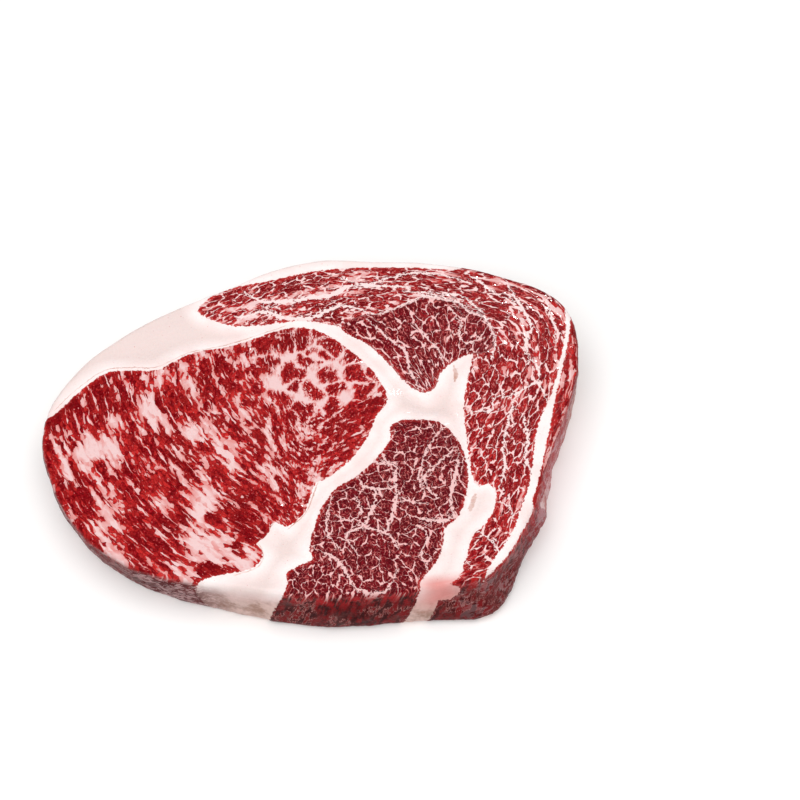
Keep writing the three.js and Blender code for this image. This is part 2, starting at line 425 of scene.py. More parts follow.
def cut_face_rise(points):
    """Rise of the cut face over its mean height."""
    rise = np.zeros(len(points))
    for x, y, reach, height in SWELLINGS:
        rise += height * bell(np.hypot(points[:, 0] - x, points[:, 1] - y), reach)
    for half_width, knots in SEAMS:
        line = smooth_line(knots, closed=False)
        nearest = np.full(len(points), np.inf)
        for start, end in zip(line[:-1], line[1:]):
            offset, _ = segment_reach(points, start, end)
            nearest = np.minimum(nearest, np.hypot(*offset.T))
        rise -= SEAM_DEPTH * bell(nearest, half_width)
    return rise


def disc_grid(steps):
    """A square grid of steps by steps cells turned into a disc: share of the radius, and angle."""
    ticks = np.linspace(-1, 1, steps + 1)
    across, along = np.meshgrid(ticks, ticks)
    wide = np.abs(across) >= np.abs(along)
    reach = np.where(wide, across, along)
    safe = np.where(reach == 0, 1, reach)
    angle = np.where(wide, math.pi / 4 * along / safe, math.pi / 2 - math.pi / 4 * across / safe)
    angle = angle + np.where(reach < 0, math.pi, 0)
    return np.abs(reach).ravel(), angle.ravel()


def grid_faces(steps):
    """Quads of a grid, and the indices around its border, counter-clockwise from its lower left."""
    index = np.arange((steps + 1) ** 2).reshape(steps + 1, steps + 1)
    quads = np.stack([index[:-1, :-1], index[:-1, 1:], index[1:, 1:], index[1:, :-1]], -1).reshape(-1, 4)
    border = np.concatenate([index[0, :-1], index[:-1, -1], index[-1, :0:-1], index[:0:-1, 0]])
    return quads, border


def side_section():
    """Rings down the side from the cut face to the resting face: share of the radius, and height."""
    rings = []
    for turn in np.linspace(math.pi / 2, 0, TOP_RINGS + 1)[1:]:
        inset = TOP_ROUNDING * (1 - math.cos(turn))
        rings.append((1 - inset / NOMINAL_RADIUS, THICKNESS - TOP_ROUNDING * (1 - math.sin(turn))))
    for height in np.linspace(THICKNESS - TOP_ROUNDING, BOTTOM_ROUNDING, SIDE_RINGS + 1)[1:]:
        rings.append((1.0, height))
    for turn in np.linspace(0, math.pi / 2, BOTTOM_RINGS + 2)[1:-1]:
        inset = BOTTOM_ROUNDING * (1 - math.cos(turn))
        rings.append((1 - inset / NOMINAL_RADIUS, BOTTOM_ROUNDING * (1 - math.sin(turn))))
    return rings


def flat_map(corners, places, strip):
    """Places on the baked map for faces seen from above or below, within one strip of it."""
    low, high = places[:, :2].min(0), places[:, :2].max(0)
    share = (places[corners, :2] - low) / (high - low)
    bottom, top = MAP_STRIPS[strip]
    return share * (1.0, top - bottom) + (0.0, bottom)


def side_map(row, rows, around):
    """Places on the baked map for one ring of the side's quads, half of them in each strip."""
    number = np.arange(around)
    half = around // 2
    column = number % half
    strips = np.array(MAP_STRIPS["sides"])[number // half]
    heights = strips[:, :1] + (strips[:, 1:] - strips[:, :1]) * (1 - np.array([[row, row + 1]]) / rows)
    left, right = column / half, (column + 1) / half
    corners = [(left, heights[:, 0]), (left, heights[:, 1]), (right, heights[:, 1]), (right, heights[:, 0])]
    return np.stack([np.stack(corner, -1) for corner in corners], 1)


def slice_form(steps):
    """Vertices in millimetres before centring, polygons, map places, and each vertex's angle and height."""
    top_share, top_angle = disc_grid(steps)
    quads, border = grid_faces(steps)
    shares = [top_share * (1 - TOP_ROUNDING / NOMINAL_RADIUS)]
    angles = [top_angle]
    heights = [np.full(len(top_share), THICKNESS)]
    rings = side_section()
    around = len(border)
    side_faces, side_places = [], []
    ring, count = border, len(top_share)
    for row, (share, height) in enumerate(rings):
        shares.append(np.full(around, share))
        angles.append(top_angle[border])
        heights.append(np.full(around, height))
        below = count + np.arange(around)
        side_faces.append(np.stack([ring, below, np.roll(below, -1), np.roll(ring, -1)], -1))
        side_places.append(side_map(row, len(rings), around))
        ring = below
        count += around
    coarse = steps // 2
    low_share, low_angle = disc_grid(coarse)
    shares.append(low_share * (1 - BOTTOM_ROUNDING / NOMINAL_RADIUS))
    angles.append(low_angle)
    heights.append(np.zeros(len(low_share)))
    low_quads, low_border = grid_faces(coarse)
    low_quads = low_quads[:, ::-1] + count
    low = low_border + count
    nxt = np.roll(low, -1)
    even, odd, after = ring[0::2], ring[1::2], np.roll(ring, -2)[0::2]
    halves = np.concatenate([
        np.stack([even, low, odd], -1), np.stack([odd, low, nxt], -1), np.stack([odd, nxt, after], -1),
    ])
    share, angle, height = (np.concatenate(part) for part in (shares, angles, heights))
    reach = share * (edge_radius(angle) + side_offset(angle, height))
    flat = np.stack([reach * np.cos(angle), reach * np.sin(angle)], -1)
    lift = cut_face_rise(flat) * (height / THICKNESS) ** 2
    places = np.column_stack([flat, height + lift])
    faces = [face for group in [quads, *side_faces, low_quads, halves] for face in group.tolist()]
    map_places = np.concatenate([
        part.reshape(-1, 2) for part in [
            flat_map(quads, places, "cut"), *side_places,
            flat_map(low_quads, places, "resting"), flat_map(halves, places, "resting"),
        ]
    ])
    return places, faces, map_places, angle, height


def turned_places(points, x, y, turned):
    """How far points lie from a middle, along a direction given in radians and across it."""
    aside, ahead = points[:, 0] - x, points[:, 1] - y
    along = aside * math.cos(turned) + ahead * math.sin(turned)
    across = -aside * math.sin(turned) + ahead * math.cos(turned)
    return along, across


def grain_places(name, points, length, width):
    """Where points lie in a muscle's own grain, counted in bundles of fibres along and across it."""
    x, y = points.T
    if name == "eye":
        bend = np.clip((x - EYE_BEND[0]) / (EYE_BEND[1] - EYE_BEND[0]), 0, 1)
        bend = bend ** 2 * (3 - 2 * bend)
        middle_x = EYE_MIDDLE_X[0] + (EYE_MIDDLE_X[1] - EYE_MIDDLE_X[0]) * bend
        away = np.hypot(x - middle_x, y - EYE_MIDDLE_Y)
        turn = np.arctan2(y - EYE_MIDDLE_Y, x - middle_x) % (2 * math.pi) - EYE_FIRST_TURN
        return np.stack([turn * (EYE_TURN_WIDTH + away / 2) / length, away / width], -1)
    if name in ("cap", "red_strip"):
        angle = np.arctan2(y, x)
        angle = np.where(angle < CAP_FIRST_TURN, angle + 2 * math.pi, angle)
        radius = edge_radius(angle)
        share = np.hypot(x, y) / radius
        return np.stack([angle * CAP_TURN_WIDTH / length, (1 - share) * radius.mean() / width], -1)
    if name == "deep_cap":
        x, y = x - DEEP_CAP_MIDDLE[0], y - DEEP_CAP_MIDDLE[1]
        return np.stack([np.hypot(x, y) / length, np.arctan2(y, x) * DEEP_CAP_TURN_WIDTH / width], -1)
    along, across = turned_places(points, 0, 0, STRAIGHT_GRAIN)
    return np.stack([along / length, across / width], -1)


def meat_marks(places, angle):
    """Values painted on the vertices, which the finish and the relief both read."""
    depth = THICKNESS - places[:, 2]
    points = places[:, :2] + depth[:, None] * np.array(SLANT)
    lean_edge = np.full(len(points), -1e3)
    grain = np.zeros((len(points), 3))
    marbling = np.zeros((len(points), 3))
    darkness = np.zeros(len(points))

    # A place goes to the muscle whose outline it lies deepest in, and the deep cap takes all it covers.
    for order, (name, (outline, length, width, lean, net, dark)) in enumerate(MUSCLES.items()):
        inside = outline_depth(points, outline)
        owns = (inside > 0) if name == "deep_cap" else inside > lean_edge
        lean_edge[owns] = np.maximum(inside, lean_edge)[owns] if name == "deep_cap" else inside[owns]
        spots = grain_places(name, points, length, width)
        grain[owns, :2] = spots[owns] + order * GRAIN_APART
        marbling[owns, :2] = (lean, net)
        darkness[owns] = dark
    for x, y, length, width, turned, strength in PATCHES:
        along, across = turned_places(points, x, y, math.radians(turned))
        marbling[:, 0] += PATCH_STRENGTH * strength * bell(np.hypot(along / length, across / width), 1)
    x, y, reach = ROUND_ISLANDS
    marbling[:, 2] = np.clip(2 * bell(np.hypot(points[:, 0] - x, points[:, 1] - y), reach), 0, 1)

    # A spot of fat lies on the side alone, off the cut face and the resting face.
    share = np.hypot(places[:, 0], places[:, 1]) / edge_radius(angle)
    for middle, height, along, up in SIDE_SPOTS:
        away = np.hypot(degrees_from(middle, angle) / along, (places[:, 2] - height) / up)
        spot = SPOT_DEPTH * (bell(away, 1) - 0.5)
        spot -= 10 * SPOT_DEPTH * (RIM_FROM - share).clip(0, 1)
        spot[depth < 1] = -SPOT_DEPTH
        lean_edge = np.minimum(lean_edge, -spot)

    # The skin's three values: how strong it is, how pale it is, which is painted light, and how flushed the
    # fat of the rim is.
    skin = np.zeros((len(points), 3))
    for middle, reach, strength, pale in SKINS:
        here = strength * bell(degrees_from(middle, angle), reach)
        skin[here > skin[:, 0], 1] = pale
        skin[:, 0] = np.maximum(skin[:, 0], here)
    rim = np.hypot(*points.T) / edge_radius(angle)
    rim = np.clip((rim - RIM_FROM) / (RIM_TO - RIM_FROM), 0, 1)
    for middle, reach, strength in FLUSHES:
        here = strength * rim * bell(degrees_from(middle, angle), reach)
        skin[:, 2] = np.maximum(skin[:, 2], here)
    return {
        "lean_edge": lean_edge.clip(-20, 20),
        "grain": grain,
        "marbling": marbling,
        "darkness": darkness,
        "vein": line_marks(points, VEINS),
        "membrane": line_marks(points, MEMBRANES, end_taper=0.1),
        "skin": skin,
    }


def node(tree, kind, links=None, **settings):
    """Adds a node with its settings, and links or sets its inputs by name or number."""
    made = tree.nodes.new(kind)
    for name, value in settings.items():
        setattr(made, name, value)
    for name, value in (links or {}).items():
        socket = made.inputs[name]
        if isinstance(value, bpy.types.Node):
            value = value.outputs[0]
        if isinstance(value, bpy.types.NodeSocket):
            tree.links.new(value, socket)
        else:
            socket.default_value = value
    return made


def marbled(tree, marks, place):
    """Where lean, fat and veins lie in the meat, made alike in the finish and in the relief.

    marks holds the sockets of the painted values, and place is the position in millimetres."""
    add = functools.partial(node, tree)

    # Bundles of fibres, one cell each, in a grain that sways.
    bend = add("ShaderNodeTexNoise", {"Vector": marks["grain"], "Scale": BENDS, "Detail": 3.0,
                                      "Roughness": 0.6}, noise_dimensions="2D")
    grain = add("ShaderNodeVectorMath", {0: bend.outputs["Color"], 1: (2.4, 2.4, 0), 2: marks["grain"]},
                operation="MULTIPLY_ADD").outputs[0]
    bundle = add("ShaderNodeTexVoronoi", {"Vector": grain, "Scale": 1.0}, voronoi_dimensions="2D")
    gap = add("ShaderNodeTexVoronoi", {"Vector": grain, "Scale": 1.0}, voronoi_dimensions="2D",
              feature="DISTANCE_TO_EDGE")
    luck = add("ShaderNodeSeparateXYZ", {0: bundle.outputs["Color"]})

    # Strands of lean along the grain, thicker and thinner from place to place.
    lobed = add("ShaderNodeMix", {"Factor": 0.55, 4: grain, 5: bundle.outputs["Position"]},
                data_type="VECTOR").outputs[1]
    stretched = add("ShaderNodeVectorMath", {0: lobed, 1: STRANDS}, operation="MULTIPLY")
    strand = add("ShaderNodeTexNoise", {"Vector": stretched, "Scale": 1.0, "Detail": 1.5, "Roughness": 0.6},
                 noise_dimensions="2D")
    drift = add("ShaderNodeTexNoise", {"Vector": lobed, "Scale": DRIFTS, "Detail": 2.0, "Roughness": 0.6},
                noise_dimensions="2D")

    # Rounded islands of lean with ragged, wavering edges.
    ragged = add("ShaderNodeTexNoise", {"Vector": place, "Scale": 1 / RAGGED_EDGE, "Detail": 4.0,
                                        "Roughness": 0.6})
    wavering = add("ShaderNodeVectorMath", {0: ragged.outputs["Color"], 1: (2.2, 2.2, 0), 2: place},
                   operation="MULTIPLY_ADD").outputs[0]
    waving = add("ShaderNodeTexNoise", {"Vector": place, "Scale": 1 / SLOW_WAVE, "Detail": 1.0})
    wavering = add("ShaderNodeVectorMath", {0: waving.outputs["Color"], 1: (9.0, 9.0, 0), 2: wavering},
                   operation="MULTIPLY_ADD").outputs[0]
    border = add("ShaderNodeTexVoronoi", {"Vector": wavering, "Scale": 1 / ISLAND}, voronoi_dimensions="2D",
                 feature="DISTANCE_TO_EDGE")
    border = add("ShaderNodeMath", {0: border, 1: 0.5}, operation="POWER")
    border = add("ShaderNodeMath", {0: border, 1: 0.16})
    blob = add("ShaderNodeTexVoronoi", {"Vector": wavering, "Scale": 1 / ISLAND}, voronoi_dimensions="2D")
    blob = add("ShaderNodeMath", {0: 1.03, 1: blob}, operation="SUBTRACT")
    rounded = add("ShaderNodeMath", {0: border, 1: blob}, operation="MINIMUM")
    rounded = add("ShaderNodeMath", {0: strand, 1: 0.3, 2: rounded}, operation="MULTIPLY_ADD")
    rounded = add("ShaderNodeMath", {0: rounded, 1: 0.15}, operation="SUBTRACT")

    # Fullness: how much the meat is lean here, from its form, its muscle's share and its bundle's luck.
    lean_share, net_share, roundness = add("ShaderNodeSeparateXYZ", {0: marks["marbling"]}).outputs
    form = add("ShaderNodeMix", {"Factor": roundness, 2: strand, 3: rounded}, data_type="FLOAT")
    fullness = add("ShaderNodeMath", {0: form, 1: lean_share})
    fullness = add("ShaderNodeMath", {0: drift, 1: 0.7, 2: fullness}, operation="MULTIPLY_ADD")
    fullness = add("ShaderNodeMath", {0: luck, 1: 0.2, 2: fullness}, operation="MULTIPLY_ADD")

    # Narrow slits of fat along the grain, which cap the fullness.
    drawn_out = add("ShaderNodeVectorMath", {0: grain, 1: SLITS}, operation="MULTIPLY")
    slit = add("ShaderNodeTexNoise", {"Vector": drawn_out, "Scale": 1.0, "Detail": 2.0},
               noise_dimensions="2D")
    most = add("ShaderNodeMath", {0: slit, 1: -2.0, 2: LEAN_FROM + 2.0 * SLIT_FROM}, operation="MULTIPLY_ADD")
    most = add("ShaderNodeMath", {0: net_share, 1: 0.25, 2: most}, operation="MULTIPLY_ADD")
    fullness = add("ShaderNodeMath", {0: fullness, 1: most}, operation="MINIMUM")
    island = add("ShaderNodeMapRange", {"Value": fullness, 1: LEAN_FROM, 2: LEAN_FROM + LEAN_SOFTNESS},
                 interpolation_type="SMOOTHSTEP")

    # The net of thin veins, and the hairs of fat between bundles.
    stepped = add("ShaderNodeMix", {"Factor": 0.2, 4: grain, 5: bundle.outputs["Position"]},
                  data_type="VECTOR").outputs[1]
    web = add("ShaderNodeTexVoronoi", {"Vector": stepped, "Scale": NETS}, voronoi_dimensions="2D",
              feature="DISTANCE_TO_EDGE")
    thread = add("ShaderNodeTexNoise", {"Vector": grain, "Scale": THREADS, "Detail": 2.0},
                 noise_dimensions="2D")
    thread = add("ShaderNodeMath", {0: thread, 1: 0.4, 2: -0.17}, operation="MULTIPLY_ADD")
    thread = add("ShaderNodeMath", {0: thread, 1: net_share}, operation="MULTIPLY")
    thread = add("ShaderNodeMath", {0: web, 1: thread}, operation="SUBTRACT")
    thread = add("ShaderNodeMapRange", {"Value": thread, 1: 0.03, 2: -0.01}, interpolation_type="SMOOTHSTEP")
    netted = add("ShaderNodeMapRange", {"Value": net_share, 1: 0.05, 2: 0.5})
    thread = add("ShaderNodeMath", {0: thread, 1: netted}, operation="MULTIPLY")
    hair = add("ShaderNodeTexNoise", {"Vector": grain, "Scale": HAIRS, "Detail": 1.0},
               noise_dimensions="2D")
    hair = add("ShaderNodeMath", {0: hair, 1: 0.5, 2: -0.26}, operation="MULTIPLY_ADD")
    hair = add("ShaderNodeMath", {0: hair, 1: net_share}, operation="MULTIPLY")
    hair = add("ShaderNodeMath", {0: gap, 1: hair}, operation="SUBTRACT")
    hair = add("ShaderNodeMapRange", {"Value": hair, 1: 0.06, 2: 0.0, 4: 0.8})
    hair = add("ShaderNodeMath", {0: hair, 1: netted}, operation="MULTIPLY")

    # Wide veins, each straying a little from its drawn line.
    sideways, plain, half = add("ShaderNodeSeparateXYZ", {0: marks["vein"]}).outputs
    strayed = add("ShaderNodeMath", {0: ragged, 1: 3.2, 2: sideways}, operation="MULTIPLY_ADD")
    strayed = add("ShaderNodeMath", {0: strayed, 1: 1.6}, operation="SUBTRACT")
    strayed = add("ShaderNodeMath", {0: strayed}, operation="ABSOLUTE")
    narrow = add("ShaderNodeMath", {0: luck.outputs[2], 1: 0.8, 2: 0.2}, operation="MULTIPLY_ADD")
    narrow = add("ShaderNodeMath", {0: half, 1: narrow}, operation="MULTIPLY")
    strayed = add("ShaderNodeMath", {0: strayed, 1: narrow}, operation="SUBTRACT")
    vein = add("ShaderNodeMapRange", {"Value": strayed, 1: 0.12, 2: -0.05}, interpolation_type="SMOOTHSTEP")
    beside = add("ShaderNodeMath", {0: plain, 1: half}, operation="SUBTRACT")
    beside = add("ShaderNodeMapRange", {"Value": beside, 1: 1.7, 2: 1.0}, interpolation_type="SMOOTHSTEP")
    wide = add("ShaderNodeMath", {0: vein, 1: beside}, operation="MULTIPLY")

    # Lean shows inside a muscle, where the meat is full and no vein runs.
    edge = add("ShaderNodeMath", {0: ragged, 1: 2.0, 2: marks["lean_edge"]}, operation="MULTIPLY_ADD")
    inside = add("ShaderNodeMapRange", {"Value": edge, 1: 0.9, 2: 1.15}, interpolation_type="SMOOTHSTEP")
    vein = add("ShaderNodeMath", {0: wide, 1: thread}, operation="MAXIMUM")
    left = add("ShaderNodeMath", {0: 1.0, 1: vein}, operation="SUBTRACT")
    lean = add("ShaderNodeMath", {0: inside, 1: island}, operation="MULTIPLY")
    lean = add("ShaderNodeMath", {0: lean, 1: left}, operation="MULTIPLY")
    return {
        "lean": lean, "inside": inside, "fullness": fullness, "vein": vein, "wide": wide, "hair": hair,
        "gap": gap, "luck": luck.outputs[1], "glow": luck.outputs[2], "ragged": ragged, "grain": grain,
    }


def lean_colour(tree, colours, marks, meat):
    """Lean on the cut face: bright where it is thin, deeper in some bundles and in clouds, darker with
    painted shade between bundles, with flecks and hairs of fat."""
    add = functools.partial(node, tree)
    dark = marks["darkness"]
    fibre = add("ShaderNodeVectorMath", {0: meat["grain"], 1: FIBRES}, operation="MULTIPLY")
    fibre = add("ShaderNodeTexNoise", {"Vector": fibre, "Scale": 1.0, "Detail": 2.0, "Roughness": 0.7},
                noise_dimensions="2D")
    mottle = add("ShaderNodeMath", {0: fibre, 1: marks["speck"]})
    shaded = add("ShaderNodeMapRange", {"Value": mottle, 1: 1.12, 2: 0.86}, interpolation_type="SMOOTHSTEP")
    unlucky = add("ShaderNodeMath", {0: meat["luck"], 1: 0.5}, operation="MULTIPLY")

    # Thin lean over fat and along the edge of a muscle is brighter, less so in the dark muscles.
    thin = add("ShaderNodeMapRange", {"Value": meat["fullness"], 1: LEAN_FROM + 0.16, 2: LEAN_FROM, 4: 0.9})
    glowing = add("ShaderNodeMapRange", {"Value": meat["glow"], 1: 0.5, 2: 1.0, 4: 0.7})
    thin = add("ShaderNodeMath", {0: thin, 1: glowing}, operation="MAXIMUM")
    paler = add("ShaderNodeMapRange", {"Value": dark, 3: 1.0, 4: 0.25})
    thin = add("ShaderNodeMath", {0: thin, 1: paler}, operation="MULTIPLY")
    rim = add("ShaderNodeMapRange", {"Value": marks["lean_edge"], 1: 1.6, 2: 0.3, 4: 0.8})
    thin = add("ShaderNodeMath", {0: thin, 1: rim}, operation="MAXIMUM")
    thick = add("ShaderNodeMapRange", {"Value": meat["fullness"], 1: LEAN_FROM + 0.1, 2: LEAN_FROM + 0.34,
                                       4: 0.45})
    gathered = add("ShaderNodeMapRange", {"Value": marks["cloud"], 1: 0.46, 2: 0.64, 4: 0.5})
    # Painted shade darkens the lean in the gaps between bundles of fibres.
    crevice_shade = add("ShaderNodeMapRange", {"Value": meat["gap"], 1: 0.16, 2: 0.03, 4: 0.6})
    fleck = add("ShaderNodeMapRange", {"Value": mottle, 1: 1.18, 2: 1.3, 4: 0.85},
                interpolation_type="SMOOTHSTEP")
    subdued = add("ShaderNodeMapRange", {"Value": dark, 3: 1.0, 4: 0.5})
    fleck = add("ShaderNodeMath", {0: fleck, 1: subdued}, operation="MULTIPLY")
    fine = add("ShaderNodeMapRange", {"Value": mottle, 1: 1.29, 2: 1.37, 4: 0.9})

    lean = add("ShaderNodeMix", {"Factor": dark, 6: colours.lean, 7: colours.dark_lean}, data_type="RGBA")
    deep = add("ShaderNodeMix", {"Factor": dark, 6: colours.deep_lean, 7: colours.deepest_lean},
               data_type="RGBA")
    lean, deep = lean.outputs[2], deep.outputs[2]
    coats = [
        (shaded, deep), (unlucky, deep), (thin, colours.thin_lean), (thick, deep), (gathered, deep),
        (crevice_shade, deep), (fleck, colours.fleck), (meat["hair"], colours.hair_fat), (fine, colours.fine_fat),
    ]
    for share, coat in coats:
        lean = add("ShaderNodeMix", {"Factor": share, 6: lean, 7: coat}, data_type="RGBA").outputs[2]
    return lean


def fat_colour(tree, colours, marks, meat):
    """Fat on the cut face: blushed next to lean, near white in the seams, duller far from the lean,
    flushed on part of the rim, with red drops and thin tan membranes."""
    add = functools.partial(node, tree)
    near_lean = add("ShaderNodeMapRange", {"Value": meat["fullness"], 1: LEAN_FROM - 0.18, 2: LEAN_FROM})
    clear = add("ShaderNodeMath", {0: 1.0, 1: meat["vein"]}, operation="SUBTRACT")
    near_lean = add("ShaderNodeMath", {0: near_lean, 1: clear}, operation="MULTIPLY")
    tinged = add("ShaderNodeMapRange", {"Value": marks["darkness"], 1: 0.3, 2: 1.0, 4: 0.4})
    inner_fat = colours.inner_fat
    coats = [
        (near_lean, colours.inner_fat_blush), (meat["vein"], colours.net_fat),
        (meat["wide"], colours.vein_fat), (tinged, colours.inner_fat_blush),
    ]
    for share, coat in coats:
        inner_fat = add("ShaderNodeMix", {"Factor": share, 6: inner_fat, 7: coat}, data_type="RGBA")
        inner_fat = inner_fat.outputs[2]

    # A membrane strays from its drawn line with the ragged noise, and fades here and there.
    across, beside, half = add("ShaderNodeSeparateXYZ", {0: marks["membrane"]}).outputs
    across = add("ShaderNodeMath", {0: across, 1: meat["ragged"]})
    across = add("ShaderNodeMath", {0: across, 1: 0.5}, operation="SUBTRACT")
    across = add("ShaderNodeMath", {0: across}, operation="ABSOLUTE")
    across = add("ShaderNodeMath", {0: across, 1: half}, operation="SUBTRACT")
    across = add("ShaderNodeMapRange", {"Value": across, 1: 0.15, 2: -0.15}, interpolation_type="SMOOTHSTEP")
    beside = add("ShaderNodeMath", {0: beside, 1: half}, operation="SUBTRACT")
    beside = add("ShaderNodeMapRange", {"Value": beside, 1: 1.2, 2: 0.6})
    kept = add("ShaderNodeMapRange", {"Value": marks["stain"], 1: 0.38, 2: 0.6, 3: 0.15, 4: 0.8})
    membrane = add("ShaderNodeMath", {0: across, 1: beside}, operation="MULTIPLY")
    membrane = add("ShaderNodeMath", {0: membrane, 1: kept}, operation="MULTIPLY")

    warm = add("ShaderNodeMapRange", {"Value": marks["cloud"], 1: 0.35, 2: 0.7},
               interpolation_type="SMOOTHSTEP")
    outer = add("ShaderNodeMapRange", {"Value": marks["lean_edge"], 1: -1.5, 2: -6.0})
    drop = add("ShaderNodeMapRange", {"Value": marks["speck"], 1: 0.71, 2: 0.76, 4: 0.6})
    fat = colours.seam_fat
    coats = [
        (warm, colours.seam_fat_blush), (outer, colours.outer_fat), (meat["inside"], inner_fat),
        (marks["flushed"], colours.flushed_fat), (drop, colours.fleck), (membrane, colours.membrane),
    ]
    for share, coat in coats:
        fat = add("ShaderNodeMix", {"Factor": share, 6: fat, 7: coat}, data_type="RGBA").outputs[2]
    return fat


def side_colour(tree, colours, marks, meat):
    """The side of the slice, older than its cut face: streaked and dried lean with threads of fat in it,
    stained fat, and stretches of wrinkled skin, painted paler where the light falls on them."""
    add = functools.partial(node, tree)
    streak = add("ShaderNodeMapping", {"Vector": marks["place"], "Rotation": (0, math.radians(18), 0),
                                       "Scale": STREAK}, vector_type="TEXTURE")
    streak = add("ShaderNodeTexNoise", {"Vector": streak, "Scale": 1.0, "Detail": 4.0, "Roughness": 0.65})
    streaked = add("ShaderNodeMapRange", {"Value": streak, 1: 0.38, 2: 0.6}, interpolation_type="SMOOTHSTEP")
    dried = add("ShaderNodeMapRange", {"Value": marks["stain"], 1: 0.5, 2: 0.66, 4: 0.65},
                interpolation_type="SMOOTHSTEP")
    near_cut = add("ShaderNodeMapRange", {"Value": marks["up"], 1: 15.0, 2: 20.5})
    near_cut = add("ShaderNodeMath", {0: near_cut, 1: streaked}, operation="MULTIPLY")
    ridge = add("ShaderNodeMath", {0: streak, 1: 0.5}, operation="SUBTRACT")
    ridge = add("ShaderNodeMath", {0: ridge}, operation="ABSOLUTE")
    ridge = add("ShaderNodeMapRange", {"Value": ridge, 1: 0.02, 2: 0.0, 4: 0.8})
    broken = add("ShaderNodeMapRange", {"Value": marks["cloud"], 1: 0.47, 2: 0.53})
    ridge = add("ShaderNodeMath", {0: ridge, 1: broken}, operation="MULTIPLY")
    running = add("ShaderNodeMapRange", {"Value": marks["up"], 1: 15.0, 2: 21.0, 4: 0.3})
    running = add("ShaderNodeMath", {0: running, 1: meat["vein"]}, operation="MULTIPLY")
    ridge = add("ShaderNodeMath", {0: ridge, 1: running}, operation="MAXIMUM")
    lean = colours.side_lean_dark
    coats = [
        (streaked, colours.side_lean), (dried, colours.side_dry), (near_cut, colours.side_fresh),
        (ridge, colours.side_vein),
    ]
    for share, coat in coats:
        lean = add("ShaderNodeMix", {"Factor": share, 6: lean, 7: coat}, data_type="RGBA").outputs[2]

    # The skin's folds let dark lean show, and between them it is dull and grey.
    wrinkle = add("ShaderNodeMapping", {"Vector": marks["place"], "Rotation": (0, math.radians(-12), 0),
                                        "Scale": SKIN_FOLD}, vector_type="TEXTURE")
    wrinkle = add("ShaderNodeTexNoise", {"Vector": wrinkle, "Scale": 1.0, "Detail": 4.0, "Roughness": 0.7})
    folded = add("ShaderNodeMath", {0: wrinkle, 1: marks["stain"]})
    folded = add("ShaderNodeMapRange", {"Value": folded, 1: 0.91, 2: 0.98}, interpolation_type="SMOOTHSTEP")
    haze = add("ShaderNodeMapRange", {"Value": wrinkle, 1: 0.46, 2: 0.34, 4: 0.6})
    # The lit skin colours are painted light: copies of the skin and its folds, painted paler where the light
    # falls.
    skin = add("ShaderNodeMix", {"Factor": marks["pale"], 6: colours.skin, 7: colours.lit_skin},
               data_type="RGBA").outputs[2]
    sunken = add("ShaderNodeMix", {"Factor": marks["pale"], 6: colours.skin_dark, 7: colours.lit_skin_folds},
                 data_type="RGBA").outputs[2]
    for share, coat in [(folded, sunken), (haze, colours.skin_haze)]:
        skin = add("ShaderNodeMix", {"Factor": share, 6: skin, 7: coat}, data_type="RGBA").outputs[2]

    stained = add("ShaderNodeMapRange", {"Value": marks["stain"], 1: 0.42, 2: 0.7},
                  interpolation_type="SMOOTHSTEP")
    blushed = add("ShaderNodeMapRange", {"Value": marks["up"], 1: 12.0, 2: 21.0, 4: 0.8})
    side = colours.side_fat
    coats = [
        (stained, colours.side_stain), (blushed, colours.inner_fat), (marks["flushed"], colours.flushed_fat),
        (meat["inside"], lean), (marks["skinned"], skin),
    ]
    for share, coat in coats:
        side = add("ShaderNodeMix", {"Factor": share, 6: side, 7: coat}, data_type="RGBA").outputs[2]
    return side


